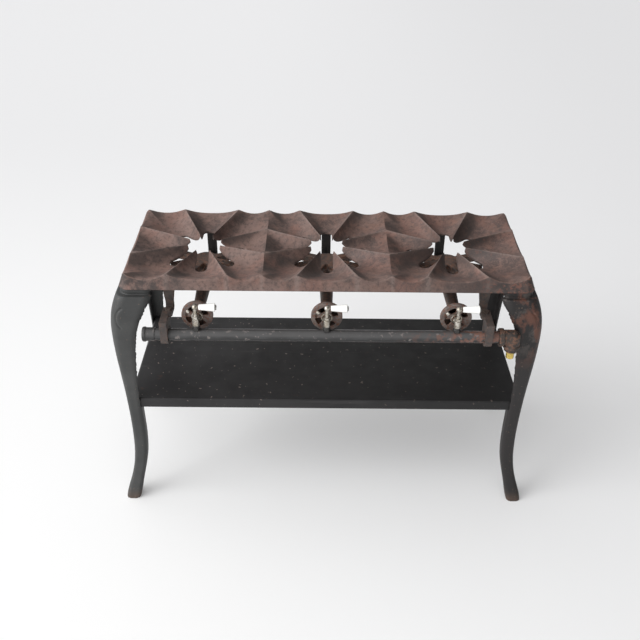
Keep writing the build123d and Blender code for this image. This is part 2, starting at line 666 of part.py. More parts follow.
def air_shutter():
    """A shallow cap over the bell, with windows like the bell's and an arc slot for its screw."""
    plate = along_y(SHUTTER_R, MIXER_Y - SHUTTER_T, MIXER_Y)
    plate = fillet(plate.edges().group_by(Axis.Y)[0], SHUTTER_T * 0.6)
    rim = along_y(SHUTTER_R, MIXER_Y, MIXER_Y + SHUTTER_RIM_DEPTH)
    rim -= along_y(SHUTTER_R - SHUTTER_RIM_W, MIXER_Y, MIXER_Y + SHUTTER_RIM_DEPTH)
    cap = plate + rim - along_y(HUB_R + RUNNING_GAP, MIXER_Y - SHUTTER_T, MIXER_Y)
    cap -= [Pos(0, MIXER_Y, TUBE_Z) * window for window in windows(SHUTTER_T)]
    arc = CenterArc((0, 0), SCREW_ORBIT, SCREW_TURN, SHUTTER_TRAVEL)
    slot = extrude(Plane.XZ * SlotArc(arc, 2 * SCREW_SLOT_R), 2 * SHUTTER_T, both=True)
    return cap - Pos(0, MIXER_Y, TUBE_Z) * slot


def shutter_screws():
    x, z = on_face(SCREW_ORBIT, SCREW_TURN)
    face_y = MIXER_Y - SHUTTER_T - 4 * RUNNING_GAP
    screw = along_y(SCREW_R, face_y, MIXER_Y + BELL_WALL, x, TUBE_Z + z)
    head = along_y(SCREW_HEAD_R, face_y - SCREW_HEAD_T, face_y, x, TUBE_Z + z)
    head = fillet(head.edges().group_by(Axis.Y)[0], SCREW_HEAD_T * 0.6)
    return [Pos(cell_x, 0, 0) * (screw + head) for cell_x in CELL_X]


def shutter_collars():
    """Rings pressed on the hub stubs in front of the shutters."""
    end = MIXER_Y - SHUTTER_T - 4 * RUNNING_GAP
    ring = along_y(HUB_R + SHUTTER_COLLAR_W, MIXER_Y - HUB_LENGTH, end)
    ring -= along_y(HUB_R, MIXER_Y - HUB_LENGTH, end)
    return [Pos(x, 0, 0) * ring for x in CELL_X]


def plug_taper(gap):
    """The tapered plug, or with a gap the seat it turns in, about the cock's axis."""
    low, high = PLUG_FOOT_Z, BARREL_TOP_Z
    return Pos(0, 0, low) * Cone(PLUG_FOOT_R + gap, PLUG_TOP_R + gap, high - low, align=ON_FACE)


def cock_body():
    body = Pos(0, 0, PIPE_Z + PIPE_R) * hexagon(COCK_HEX_R, COCK_HEX_H)
    body += upright(COCK_TAP_R, COCK_BASE_Z, PIPE_Z + PIPE_R)
    body += upright(BARREL_R, PIPE_Z + PIPE_R, BARREL_TOP_Z)
    body += along_y(OUTLET_R, 0, OUTLET_LENGTH)
    body -= upright(GAS_WAY_R, COCK_BASE_Z, PLUG_FOOT_Z)
    body -= along_y(GAS_WAY_R, 0, OUTLET_LENGTH)
    return body - plug_taper(RUNNING_GAP)


def gland_nut():
    nut = Pos(0, 0, BARREL_TOP_Z) * hexagon(GLAND_R, GLAND_H)
    return nut - upright(STEM_R + RUNNING_GAP, BARREL_TOP_Z, BARREL_TOP_Z + GLAND_H)


def cock_plug():
    """Taper, stem and ball hub in one turning; its gas way opens to the left while the cock is shut."""
    plug = plug_taper(0) + upright(STEM_R, BARREL_TOP_Z, LEVER_Z)
    plug += Pos(0, 0, LEVER_Z) * Sphere(BALL_R)
    plug -= upright(GAS_WAY_R, PLUG_FOOT_Z, TUBE_Z)
    plug -= along_x(GAS_WAY_R, -BARREL_R, 0, 0, TUBE_Z)
    return plug - along_x(ROD_R, ROD_START, BALL_R, 0, LEVER_Z)


def lever_rod():
    end = GRIP_START + GRIP_LENGTH + GRIP_NUT_T
    return along_x(ROD_R, ROD_START, end - GRIP_NUT_T / 2, 0, LEVER_Z)


def porcelain_grip():
    """Tapered handle, thicker at its outer end, with a rounded shoulder."""
    start, end = GRIP_START, GRIP_START + GRIP_LENGTH
    profile = Polyline((start, ROD_R), (start, GRIP_SMALL_R), (end, GRIP_LARGE_R), (end, ROD_R), close=True)
    face = make_face(profile)
    face = fillet(face.vertices().sort_by(Axis.Y)[-2:], GRIP_EDGE_R)
    return Pos(0, 0, LEVER_Z) * revolve(Plane.XZ * face, Axis.X)


def grip_nut():
    start = GRIP_START + GRIP_LENGTH
    nut = along_x(GRIP_NUT_R, start, start + GRIP_NUT_T, 0, LEVER_Z)
    nut = fillet(nut.edges().group_by(Axis.X)[-1], GRIP_NUT_T * 0.7)
    return nut - along_x(ROD_R, start, start + GRIP_NUT_T / 2, 0, LEVER_Z)


def orifice_hood():
    """Screws over the cock's outlet and reaches into the mixer's hub."""
    nose_end = MIXER_Y + PIPE_OUT + HUB_LENGTH / 2
    hex_start = OUTLET_LENGTH - HOOD_HEX_T
    nut = hexagon(HOOD_HEX_R, HOOD_HEX_T + HOOD_WEB)
    hood = Pos(0, hex_start, TUBE_Z) * Rot(-90, 0, 0) * nut
    hood += along_y(HOOD_R, OUTLET_LENGTH, nose_end)
    hood -= along_y(OUTLET_R, hex_start, OUTLET_LENGTH)
    return hood - along_y(JET_R, OUTLET_LENGTH, nose_end)


def mirrored_x(shape):
    return mirror(shape, about=Plane.YZ)


def mirrored_y(shape):
    return mirror(shape, about=Plane.XZ)


def nodes():
    """Every node of the assembly, by name."""
    rear_right = leg()
    parts = {
        "top_grate": top_grate(),
        "rear_right_leg": rear_right,
        "rear_left_leg": mirrored_x(rear_right),
        "front_right_leg": mirrored_y(rear_right),
        "front_left_leg": mirrored_x(mirrored_y(rear_right)),
        "leg_bolts": leg_bolts(),
        "shelf": shelf(),
        "manifold_pipe": manifold_pipe(),
        "end_cap": end_cap(),
        "pipe_collar": pipe_collar(),
        "elbow": elbow(),
        "inlet_bushing": inlet_bushing(),
        "hose_spigot": hose_spigot(),
        "hanger_bolts": hanger_bolts(),
        "strap_bolts": strap_bolts(),
        "shutter_screws": shutter_screws(),
        "shutter_collars": shutter_collars(),
    }
    for side, name in ((-1, "left"), (1, "right")):
        parts[f"{name}_hanger"] = Pos(side * HANGER_X, 0, 0) * hanger()
        hook = pipe_hook() if side > 0 else mirrored_x(pipe_hook())
        parts[f"{name}_pipe_hook"] = Pos(side * HANGER_X, 0, 0) * hook
    on_table = {"burner": burner, "burner_strap": burner_strap, "air_shutter": air_shutter}
    on_pipe = {
        "cock_body": cock_body,
        "gland_nut": gland_nut,
        "cock_plug": cock_plug,
        "lever_rod": lever_rod,
        "porcelain_grip": porcelain_grip,
        "grip_nut": grip_nut,
        "orifice_hood": orifice_hood,
    }
    for x, name in zip(CELL_X, SIDES):
        for node, make in on_table.items():
            parts[f"{name}_{node}"] = Pos(x, 0, 0) * make()
        for node, make in on_pipe.items():
            parts[f"{name}_{node}"] = Pos(x, -PIPE_OUT, 0) * make()
    return parts


def main():
    os.makedirs("parts", exist_ok=True)
    for name, shape in nodes().items():
        solids = shape if isinstance(shape, list) else [shape]
        placed = [Pos(0, TO_FRAME, 0) * solid for solid in solids]
        node = placed[0] if len(placed) == 1 else Compound(children=placed)
        node.label = name
        export_step(node, f"parts/{name}.step")
        print(name, round(sum(s.volume for s in node.solids())))
    print("table centre at y", TO_FRAME)


main()
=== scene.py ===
import json
import math

import bmesh
import bpy
import numpy as np
from mathutils import Matrix, Vector

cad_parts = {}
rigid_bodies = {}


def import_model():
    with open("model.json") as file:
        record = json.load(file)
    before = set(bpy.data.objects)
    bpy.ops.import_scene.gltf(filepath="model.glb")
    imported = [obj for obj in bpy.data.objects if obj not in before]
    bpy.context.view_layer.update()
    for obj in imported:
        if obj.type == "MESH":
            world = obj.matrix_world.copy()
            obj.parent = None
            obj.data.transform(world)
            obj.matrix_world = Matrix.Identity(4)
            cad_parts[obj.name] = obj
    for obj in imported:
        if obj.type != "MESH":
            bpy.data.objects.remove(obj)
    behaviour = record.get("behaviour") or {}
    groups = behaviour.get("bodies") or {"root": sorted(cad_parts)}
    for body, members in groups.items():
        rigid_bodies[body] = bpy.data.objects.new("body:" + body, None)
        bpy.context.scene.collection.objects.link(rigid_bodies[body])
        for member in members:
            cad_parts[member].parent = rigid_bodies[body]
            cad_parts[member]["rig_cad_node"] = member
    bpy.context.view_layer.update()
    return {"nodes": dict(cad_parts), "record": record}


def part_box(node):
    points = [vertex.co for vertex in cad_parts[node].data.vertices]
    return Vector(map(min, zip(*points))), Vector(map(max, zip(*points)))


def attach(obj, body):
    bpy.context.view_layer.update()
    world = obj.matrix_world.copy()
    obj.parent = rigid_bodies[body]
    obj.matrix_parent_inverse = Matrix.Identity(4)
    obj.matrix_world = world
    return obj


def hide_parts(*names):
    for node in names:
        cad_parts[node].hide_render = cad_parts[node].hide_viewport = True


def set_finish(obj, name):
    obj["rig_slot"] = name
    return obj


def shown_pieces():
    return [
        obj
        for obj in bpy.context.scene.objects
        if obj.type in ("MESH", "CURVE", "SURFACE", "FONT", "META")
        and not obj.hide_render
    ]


# Looks of the three-burner gas hot plate. Metres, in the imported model's frame: X along the top,
# -Y the side with the cocks, Z up from the floor.

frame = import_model()
SIDES = ("left", "middle", "right")
MM = 0.001

# ---- the top: places from the CAD boxes, shape of the pleats ------------------------------------
TOP_LOW, TOP_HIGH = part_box("top_grate")
CENTRE_Y = (TOP_LOW.y + TOP_HIGH.y) / 2
APRON_Z, TOP_Z = TOP_LOW.z, TOP_HIGH.z
FLARE = 10.0 * MM                         # how far the apron leans out at its foot
HALF_L = TOP_HIGH.x - FLARE
HALF_D = (TOP_HIGH.y - TOP_LOW.y) / 2 - FLARE
CELL_X = [(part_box(f"{side}_burner")[0].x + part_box(f"{side}_burner")[1].x) / 2 for side in SIDES]
HALF_CELL = (CELL_X[1] - CELL_X[0]) / 2
SECTOR = 45                               # degrees; each cell's top has eight sectors
RIDGE_TAN = math.tan(math.radians(SECTOR / 2))
CASTING_T = 4.5 * MM
TIP_DROP = 6.0 * MM                       # ridges sink this much from the rim to the cell's centre
SLOT_HALF = 10.5 * MM
SLOT_REACH = 77.0 * MM                    # a slot's rounded end, from the cell's centre
SLOT_SAG = 21.0 * MM                      # valley floor below the ridges at the end of a slot
TIP_REACH = 29.0 * MM                     # the open middle, from the cell's centre
TIP_SAG = 21.5 * MM                       # as if the slot were not there
TIP_SLOPE = 0.8                           # slope at the tips, as a share of the change in sag
SIDE_SAG = 9.0 * MM                       # scallops of the rim
CORNER_SAG = 9.0 * MM
CORNER_REACH = 1.31 * HALF_D              # where the valley towards a cell's corner would end
CORNER_BOWL_SAG = 0.55 * SLOT_SAG
RIM_SLOPE = -0.42                         # how steeply the valleys rise to the rim
PEAK_START = 0.45                         # share of the way to the rim where the corner peaks begin
PEAK_POWER = 2.2                          # above 1, the corner peaks rise late
CREST_R = 0.8 * MM
VALLEY_POWER = 2.4                        # above 2, steep beside the ridges and flat on the floor
RIM_CORNER_R = 9.0 * MM
EDGE_R = 1.9 * MM
EDGE_FADE = 2.5 * MM                      # rubbed edges fade out over this much
WELD = 0.02 * MM
TINY = 1e-6

# grid lines of the top's skin
ROUND_LINES = 5
TIP_TO_SLOT_LINES = 14
RIDGE_LINES = 17
RIM_LINES = 15
INWARD_LINES = 15


def new_piece(name, mesh, body, slot, *replaced):
    """Puts a mesh in the scene as a piece that rides a body and stands for CAD nodes."""
    piece = bpy.data.objects.new(name, mesh)
    bpy.context.scene.collection.objects.link(piece)
    for polygon in mesh.polygons:
        polygon.use_smooth = True
    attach(piece, body)
    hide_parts(*replaced)
    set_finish(piece, slot)
    return piece


# ---- top grate ----------------------------------------------------------------------------------


def hermite(t, start, end, slope_start, slope_end):
    """A cubic from start to end over t = 0..1, with a slope at each end."""
    t2, t3 = t * t, t * t * t
    rise = (2 * t3 - 3 * t2 + 1) * start + (3 * t2 - 2 * t3) * end
    return rise + (t3 - 2 * t2 + t) * slope_start + (t3 - t2) * slope_end


def valley_sag(reach, rim, rim_sag):
    """Depth of a valley's floor below its ridges at a reach from the cell's centre."""
    inner = np.clip((reach - TIP_REACH) / (SLOT_REACH - TIP_REACH), -0.3, 1)
    outer = np.clip((reach - SLOT_REACH) / (rim - SLOT_REACH), 0, 1)
    span = rim - SLOT_REACH
    deep = hermite(inner, TIP_SAG, SLOT_SAG, TIP_SLOPE * (SLOT_SAG - TIP_SAG), 0.0)
    shallow = hermite(outer, SLOT_SAG, rim_sag, 0.0, RIM_SLOPE * span)
    return np.where(reach < SLOT_REACH, deep, shallow)


def pleat_height(x, y, near, far, corner):
    """Height of the top and its depth below the ridges at points of a sector.

    The sector faces +X, or the corner of +X and +Y. The cell reaches near along X and far along Y."""
    ring = np.maximum(np.abs(x) / near, np.abs(y) / far)
    outness = np.clip((ring - PEAK_START) / (1 - PEAK_START), 0, 1) ** PEAK_POWER
    if corner:
        reach = (x + y) / math.sqrt(2)
        across = (y - x) / math.sqrt(2)
        on_near = x / near >= y / far
        along_near = (y / np.maximum(ring, TINY) - near * RIDGE_TAN) / (far - near * RIDGE_TAN)
        along_far = (x / np.maximum(ring, TINY) - far * RIDGE_TAN) / (near - far * RIDGE_TAN)
        along = np.clip(np.where(on_near, along_near, along_far), 0, 1)
        bowl = valley_sag(reach, CORNER_REACH, CORNER_BOWL_SAG)
        scallop = CORNER_SAG * 4 * along * (1 - along)
    else:
        reach, across = x, y
        bowl = valley_sag(reach, near, SIDE_SAG)
    share = np.clip(across / (reach * RIDGE_TAN), -1, 1)
    depth = bowl * (1 - np.abs(share) ** VALLEY_POWER)
    if corner:
        depth = (1 - outness) * depth + outness * scallop
    depth = np.sqrt(depth**2 + CREST_R**2) - CREST_R
    towards_rim = (1 - outness) * reach / HALF_D + outness * ring
    return TOP_Z - TIP_DROP * (1 - np.clip(towards_rim, 0, 1)) - depth, depth


def rim_path(near, far, near_out, far_out, inset):
    """Points along the outside of a half sector, from its ridge's end on the +X side to the corner.

    Their outward directions come second. The corner is rounded where both sides are outer ones."""
    a = near - (inset if near_out else 0)
    b = far - (inset if far_out else 0)
    radius = RIM_CORNER_R - inset / 2 if near_out and far_out else 0.0
    points = [(a, y) for y in np.linspace(a * RIDGE_TAN, b - radius, RIM_LINES)]
    outward = [(1.0, 0.0)] * len(points)
    if radius:
        for turn in np.linspace(0, math.pi / 4, ROUND_LINES)[1:]:
            c, s = math.cos(turn), math.sin(turn)
            points.append((a - radius + radius * c, b - radius + radius * s))
            outward.append((c, s))
    return np.array(points), np.array(outward)


def edge_drop(distance, tip_distance):
    """How far the rounded edge of the casting falls below its face, near a slot and near a tip."""
    a = np.clip(1 - distance / EDGE_R, 0, 1)
    b = np.clip(1 - tip_distance / EDGE_R, 0, 1)
    return EDGE_R * (1 - np.sqrt(np.clip(1 - a**2 - b**2, 0, 1)))


def half_sector_rays(near, far, near_out, far_out, corner, inset):
    """Where each ray of a half sector starts on the slot's edge and ends on the ridge or the rim.

    The slot runs along +X here. The outward directions at the rim come third."""
    centre = SLOT_REACH - SLOT_HALF
    tip = TIP_REACH + EDGE_R * (1 - np.cos(np.linspace(0, math.pi / 2, ROUND_LINES)))
    beyond_tip = np.linspace(TIP_REACH + EDGE_R, centre, TIP_TO_SLOT_LINES)[1:]
    straight = np.concatenate([tip, beyond_tip])
    starts = [(m, SLOT_HALF) for m in straight]
    ends = [(m, m * RIDGE_TAN) for m in straight]
    if corner:
        rim, outward = rim_path(near, far, near_out, far_out, inset)
        back = Matrix.Rotation(-math.pi / 4, 2)
        rim = rim @ np.array(back).T
        outward = outward @ np.array(back).T
        rim[:, 1] *= -1
        outward[:, 1] *= -1
    else:
        a = near - (inset if near_out else 0)
        rim = np.array([(a, s) for s in np.linspace(a * RIDGE_TAN, 0, RIM_LINES)])
        outward = np.array([(1.0, 0.0)] * len(rim))
    ridge_start = np.array(ends[-1])
    for t in np.linspace(0, 1, RIDGE_LINES)[1:-1]:
        ends.append(tuple((1 - t) * ridge_start + t * rim[0]))
    ends.extend(tuple(p) for p in rim)
    for end in ends[len(straight):]:
        away = np.array(end) - (centre, 0.0)
        away /= np.linalg.norm(away)
        starts.append((centre + SLOT_HALF * away[0], SLOT_HALF * away[1]))
    return np.array(starts), np.array(ends), outward


def half_sector(near, far, near_out, far_out, corner, under):
    """Points of the upper or under side in one half of a sector, slot along +X, ridge on +Y.

    Their depth below the ridges and closeness to an edge come next, then the rim's directions."""
    inset = CASTING_T if under else 0.0
    starts, ends, outward = half_sector_rays(near, far, near_out, far_out, corner, inset)
    lengths = np.linalg.norm(ends - starts, axis=1)
    rounding = EDGE_R * (1 - np.cos(np.linspace(0, math.pi / 2, ROUND_LINES)))
    inward = np.sin(np.linspace(0, math.pi / 2, INWARD_LINES))[1:]
    distance = np.zeros((len(starts), len(rounding) + len(inward)))
    for i, length in enumerate(lengths):
        turned = rounding * min(1.0, 0.5 * length / EDGE_R)
        distance[i] = np.concatenate([turned, turned[-1] + (length - turned[-1]) * inward])
    share = (distance / lengths[:, None])[:, :, None]
    flat = starts[:, None, :] * (1 - share) + ends[:, None, :] * share
    x, y = flat[:, :, 0], flat[:, :, 1]
    if corner:
        real_x, real_y = (x + y) / math.sqrt(2), (x - y) / math.sqrt(2)
        height, depth = pleat_height(real_x, real_y, near, far, True)
    else:
        height, depth = pleat_height(x, y, near, far, False)
    drop = edge_drop(distance, x - TIP_REACH)
    height = height - CASTING_T + drop if under else height - drop
    edge = np.exp(-distance / EDGE_FADE)
    return np.dstack([x, y, height]), depth, edge, outward


class Skin:
    """Gathers grids of points with two painted values each, for one welded mesh."""

    def __init__(self):
        self.points, self.faces, self.paint, self.count = [], [], [], 0

    def grid(self, points, depth, edge):
        """Adds a grid's points, its quads and its two painted values."""
        rows, columns = points.shape[:2]
        index = self.count + np.arange(rows * columns).reshape(rows, columns)
        corners = [index[:-1, :-1], index[1:, :-1], index[1:, 1:], index[:-1, 1:]]
        quads = np.stack(corners, axis=-1)
        self.points.append(points.reshape(-1, 3))
        self.faces.append(quads.reshape(-1, 4))
        self.paint.append(np.stack([depth.ravel(), edge.ravel()], axis=1))
        self.count += rows * columns

    def mesh(self, name):
        """The welded mesh, with its normals outward."""
        mesh = bpy.data.meshes.new(name)
        points, faces = np.concatenate(self.points), np.concatenate(self.faces)
        mesh.from_pydata(points.tolist(), [], faces.tolist())
        paint = np.concatenate(self.paint).astype(np.float32)
        for column, title in enumerate(("depth", "edge")):
            layer = mesh.attributes.new(title, "FLOAT", "POINT")
            layer.data.foreach_set("value", np.ascontiguousarray(paint[:, column]))
        shape = bmesh.new()
        shape.from_mesh(mesh)
        bmesh.ops.remove_doubles(shape, verts=shape.verts, dist=WELD)
        bmesh.ops.recalc_face_normals(shape, faces=shape.faces)
        shape.to_mesh(mesh)
        shape.free()
        return mesh


SHOULDER_OUT = 0.8 * MM
BEND_DROP = 5.0 * MM
BEND_POINTS = 7
FOOT_ROUND = 0.7 * MM
FOOT_LIP = 0.5 * MM
FOOT_START = 1.5 * MM       # above the foot, where its rounding begins
INNER_ROUND = 0.6 * MM
INNER_LEAN = 2.5 * MM
INNER_RISE = 6.0 * MM


def apron_profile(rim_height, under_height):
    """The apron's section at one place on the rim: outward offsets and heights.

    It goes over the rim, down the flare, round the foot and up inside to the under face."""
    slope = FLARE / (TOP_Z - APRON_Z)
    start = np.array([0.0, rim_height])
    shoulder = np.array([(TOP_Z - rim_height) * slope + SHOULDER_OUT, rim_height])
    bend_z = rim_height - BEND_DROP
    bend = np.array([(TOP_Z - bend_z) * slope, bend_z])
    share = np.linspace(0, 1, BEND_POINTS)[:, None]
    over = (1 - share) ** 2 * start + 2 * share * (1 - share) * shoulder + share * share * bend
    inner_foot = FLARE - CASTING_T
    foot = [
        (FLARE - FOOT_LIP, APRON_Z + FOOT_START),
        (FLARE, APRON_Z + FOOT_ROUND),
        (FLARE - FOOT_LIP, APRON_Z),
        (inner_foot + INNER_ROUND, APRON_Z),
        (inner_foot, APRON_Z + FOOT_ROUND),
    ]
    inside = [(inner_foot - INNER_LEAN, APRON_Z + INNER_RISE), (-CASTING_T, under_height)]
    return np.concatenate([over, foot, inside])


RIM_BEND = slice(2, 5)      # of the section's points
FOOT_BEND = slice(7, 11)
RIM_WEAR = 0.5
FOOT_WEAR = 0.8


def place_grid(points, turn, flip, cell_x):
    """Turns a half sector's points to their place in the table."""
    x, y = points[..., 0], points[..., 1] * (-1 if flip else 1)
    angle = math.radians(turn)
    c, s = math.cos(angle), math.sin(angle)
    return np.stack([cell_x + x * c - y * s, CENTRE_Y + x * s + y * c, points[..., 2]], axis=-1)


def top_mesh():
    """The whole top as one casting: three cells, each of eight sectors in two mirrored halves."""
    skin = Skin()
    for cell, cell_x in enumerate(CELL_X):
        for turn in range(0, 360, SECTOR):
            for flip in (False, True):
                add_half_sector(skin, cell, cell_x, turn, flip)
    return skin.mesh("top_iron")


def side_reach(turn, cell):
    """How far a cell reaches towards a side, and whether that side is an outer one."""
    outer = {0: cell == 2, 180: cell == 0}.get(turn % 360, True)
    return (HALF_D, True) if outer else (HALF_CELL, False)


def add_half_sector(skin, cell, cell_x, turn, flip):
    """Adds both faces of a half sector, its walls at the slot and the tip, and its bit of apron."""
    corner = turn % 90 == SECTOR
    if corner:
        # the side next to this half's ridge comes first
        first = turn - SECTOR if flip else turn + SECTOR
        second = turn + SECTOR if flip else turn - SECTOR
    else:
        first, second = turn, turn + (-90 if flip else 90)
    near, near_out = side_reach(first, cell)
    far, far_out = side_reach(second, cell)
    upper, depth, edge, outward = half_sector(near, far, near_out, far_out, corner, False)
    lower, low_depth, low_edge, _ = half_sector(near, far, near_out, far_out, corner, True)
    placed_upper = place_grid(upper, turn, flip, cell_x)
    placed_lower = place_grid(lower, turn, flip, cell_x)
    skin.grid(placed_upper, depth, edge)
    skin.grid(placed_lower, low_depth, low_edge)
    wall = np.stack([placed_upper[:, 0], placed_lower[:, 0]], axis=1)
    skin.grid(wall, np.zeros(wall.shape[:2]), np.ones(wall.shape[:2]))
    tip = np.stack([placed_upper[0], placed_lower[0]], axis=1)
    skin.grid(tip, np.zeros(tip.shape[:2]), np.ones(tip.shape[:2]))
    if near_out:
        add_apron(skin, upper, lower, depth, outward, turn, flip, cell_x)


def add_apron(skin, upper, lower, depth, outward, turn, flip, cell_x):
    """Hangs the apron's section on each rim point of a half sector."""
    rim = upper[-len(outward):, -1]
    under = lower[-len(outward):, -1]
    rows = []
    for point, low, away in zip(rim, under, outward):
        section = apron_profile(point[2], low[2])
        xy = point[:2] + section[:, :1] * away
        xy[-1] = low[:2]
        rows.append(np.column_stack([xy, section[:, 1]]))
    grid = np.array(rows)
    wear = np.zeros(grid.shape[:2])
    wear[:, RIM_BEND] = RIM_WEAR
    wear[:, FOOT_BEND] = FOOT_WEAR
    sunk = np.repeat(depth[-len(outward):, -1:], grid.shape[1], axis=1)
    skin.grid(place_grid(grid, turn, flip, cell_x), sunk, wear)


new_piece("top_iron", top_mesh(), "stand", "grate_iron", "top_grate")


# ---- castings and bars: CAD shapes with their edges worn round ----------------------------------

CAD_WELD = 0.002 * MM
SMOOTH_FACTOR = 0.5


def applied(piece):
    """The piece's mesh with its modifiers applied."""
    bpy.context.view_layer.update()
    evaluated = piece.evaluated_get(bpy.context.evaluated_depsgraph_get())
    return bpy.data.meshes.new_from_object(evaluated)


def worn_mesh(node, voxel, passes):
    """A CAD node's shape as one skin of small faces, smoothed so that its edges are round."""
    mesh = frame["nodes"][node].data.copy()
    mesh.materials.clear()
    shape = bmesh.new()
    shape.from_mesh(mesh)
    bmesh.ops.remove_doubles(shape, verts=shape.verts, dist=CAD_WELD)
    shape.to_mesh(mesh)
    shape.free()
    rough = bpy.data.objects.new("rough", mesh)
    bpy.context.scene.collection.objects.link(rough)
    remesh = rough.modifiers.new("skin", "REMESH")
    remesh.mode = "VOXEL"
    remesh.voxel_size = voxel
    smooth = rough.modifiers.new("wear", "SMOOTH")
    smooth.factor = SMOOTH_FACTOR
    smooth.iterations = passes
    made = applied(rough)
    bpy.data.objects.remove(rough)
    return made


def worn(node, body, slot, voxel, passes):
    """Puts a worn copy in a CAD node's place; a leg's knee is carved as well."""
    mesh = worn_mesh(node, voxel, passes)
    if node.endswith("_leg"):
        carve_knee(mesh, -1 if "left" in node else 1, -1 if "front" in node else 1)
    return new_piece(f"{node}_worn", mesh, body, slot, node)


# the C-shaped groove cast in each knee: millimetres beyond the rim along X, and height
KNEE_GROOVE = (
    (4.0, 436.0),
    (10.0, 431.0),
    (14.5, 423.0),
    (15.0, 414.0),
    (12.5, 405.0),
    (8.0, 399.0),
)
GROOVE_HALF = 1.7 * MM
GROOVE_DEPTH = 1.5 * MM
KNEE_BOSS = (11.0, 449.0)
BOSS_RADIUS = 5.0 * MM
BOSS_RISE = 1.0 * MM


def carve_knee(mesh, side, end):
    """Sinks a groove in a knee's outer face on the long side, and raises a small boss above it."""
    count = len(mesh.vertices)
    points = np.empty(count * 3, dtype=np.float32)
    mesh.vertices.foreach_get("co", points)
    points = points.reshape(-1, 3).astype(float)
    normals = np.empty(count * 3, dtype=np.float32)
    mesh.vertex_normals.foreach_get("vector", normals)
    facing = np.clip(normals.reshape(-1, 3)[:, 1] * end, 0, 1)
    out, height = points[:, 0] * side - HALF_L, points[:, 2]
    near = np.full(count, np.inf)
    for (x0, z0), (x1, z1) in zip(KNEE_GROOVE, KNEE_GROOVE[1:]):
        run, rise = (x1 - x0) * MM, (z1 - z0) * MM
        share = ((out - x0 * MM) * run + (height - z0 * MM) * rise) / (run * run + rise * rise)
        share = np.clip(share, 0, 1)
        from_stretch = np.hypot(out - x0 * MM - share * run, height - z0 * MM - share * rise)
        near = np.minimum(near, from_stretch)
    boss = np.hypot(out - KNEE_BOSS[0] * MM, height - KNEE_BOSS[1] * MM)
    raised = BOSS_RISE * np.exp(-((boss / BOSS_RADIUS) ** 2))
    move = raised - GROOVE_DEPTH * np.exp(-((near / GROOVE_HALF) ** 2))
    outside = (points[:, 1] - CENTRE_Y) * end > HALF_D
    points[:, 1] += end * move * facing * outside
    mesh.vertices.foreach_set("co", points.astype(np.float32).ravel())
    mesh.update()


SLOT_OF = {row["node"]: row["material_slot"] for row in frame["record"]["subparts"]}
BODIES = frame["record"]["behaviour"]["bodies"]
BODY_OF = {node: body for body, nodes in BODIES.items() for node in nodes}

# for each ending of a node's name, how fine the worn skin is and how often it is smoothed
WORN = {
    "_leg": (1.3 * MM, 4),
    "_burner": (0.9 * MM, 4),
    "_hanger": (0.7 * MM, 4),
    "_pipe_hook": (0.7 * MM, 3),
    "_burner_strap": (0.8 * MM, 3),
    "_air_shutter": (0.4 * MM, 2),
    "_cock_body": (0.45 * MM, 3),
    "_gland_nut": (0.3 * MM, 2),
    "_orifice_hood": (0.35 * MM, 2),
    "end_cap": (0.5 * MM, 3),
    "pipe_collar": (0.5 * MM, 3),
    "elbow": (0.5 * MM, 4),
    "inlet_bushing": (0.4 * MM, 3),
    "hose_spigot": (0.4 * MM, 2),
}
for node in sorted(frame["nodes"]):
    for ending, (voxel, passes) in WORN.items():
        if node.endswith(ending):
            worn(node, BODY_OF[node], SLOT_OF[node], voxel, passes)


# ---- materials ----------------------------------------------------------------------------------

PIPE_LOW, PIPE_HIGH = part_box("manifold_pipe")
PIPE_Z = (PIPE_LOW.z + PIPE_HIGH.z) / 2
PIPE_R = (PIPE_HIGH.z - PIPE_LOW.z) / 2
HEX_TOP_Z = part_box("middle_cock_body")[0].z + 11.0 * MM     # up to here a cock is painted
RANGE_SOCKETS = ("From Min", "From Max", "To Min", "To Max")

# from where to where along X a colour comes in, or fades out
# painted light: the top is lighter from its left end to a little right of the middle
TOP_PAINTED_LIGHT = (-0.36, 0.15)
APRON_DARKER = (0.0, 0.30)
APRON_BURNT = (0.21, 0.31)      # towards both ends
APRON_FLAKED = (0.22, 0.32)
LEGS_RUSTED = (0.1, 0.33)
# painted shade: the shelf darkens towards the right, where the light from the left falls off
SHELF_PAINTED_SHADE = (-0.30, 0.25)
PIPE_RUSTED = (0.10, 0.26)

# the same, in height
LEG_TOP_RUST = (0.30, 0.40)
FOOT_RUST = (0.0, 0.026)
PIPE_PAINTED_HIGHLIGHT = (PIPE_Z + 0.05 * PIPE_R, PIPE_Z + 0.5 * PIPE_R)

# height of a painted shade band along the pipe's front, below its middle
PIPE_PAINTED_SHADE_Z = PIPE_Z - 0.30 * PIPE_R
PIPE_RUBBED_Z = PIPE_Z - 0.80 * PIPE_R

BURNER_SHADE_Y = 22.0 * MM       # a burner gets painted shade farther back than this from the middle, under the top
SHADE_FADE = 10.0 * MM


